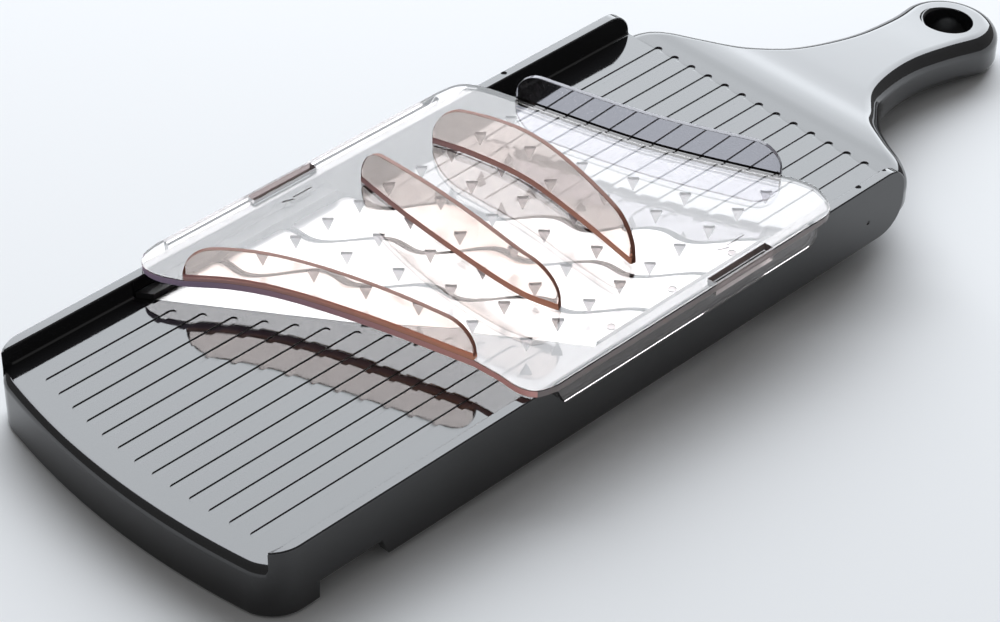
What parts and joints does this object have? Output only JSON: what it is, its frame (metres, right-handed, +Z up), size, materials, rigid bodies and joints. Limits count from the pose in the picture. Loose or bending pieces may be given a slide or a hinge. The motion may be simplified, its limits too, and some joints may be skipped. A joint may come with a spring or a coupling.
{
  "type": "mandoline slicer",
  "caption": "Mandoline slicer: black tray with grooved decks and drooping handle, slanted wavy steel blades, and a clear finned food holder that slides on its rails.",
  "frame": {"origin": "on the table, under the middle of the whole slicer's box, as it rests on its front edge and its handle", "axes": "+Y from the front edge towards the handle, +X to the right, +Z up; the tray itself is tipped 2 degrees about X, handle side up"},
  "size_m": [0.136, 0.4062, 0.0532],
  "materials": {
    "body_plastic": "polished black moulded plastic",
    "frame_plastic": "satin black moulded plastic",
    "blade_steel": "bright ground stainless steel",
    "screw_steel": "plain stainless steel",
    "clear_plastic": "clear moulded plastic with a faint warm pink tint"
  },
  "bodies": {
    "tray": {"main_body": "body_plastic", "blade_frame": "frame_plastic", "front_blade": "blade_steel", "middle_blade": "blade_steel", "rear_blade": "blade_steel", "left_blade_strip": "frame_plastic", "right_blade_strip": "frame_plastic", "left_strip_screw_1": "screw_steel", "left_strip_screw_2": "screw_steel", "left_strip_screw_3": "screw_steel", "left_strip_screw_4": "screw_steel", "right_strip_screw_1": "screw_steel", "right_strip_screw_2": "screw_steel", "right_strip_screw_3": "screw_steel", "right_strip_screw_4": "screw_steel", "frame_screw_1": "screw_steel", "frame_screw_2": "screw_steel", "frame_screw_3": "screw_steel", "frame_screw_4": "screw_steel"},
    "holder": {"food_holder": "clear_plastic"}
  },
  "joints": [
    {"name": "holder_slide", "type": "slide", "parent": "tray", "child": "holder", "axis": [0, 0.9994, 0.0349], "range_m": [-0.06, 0.036]}
  ]
}
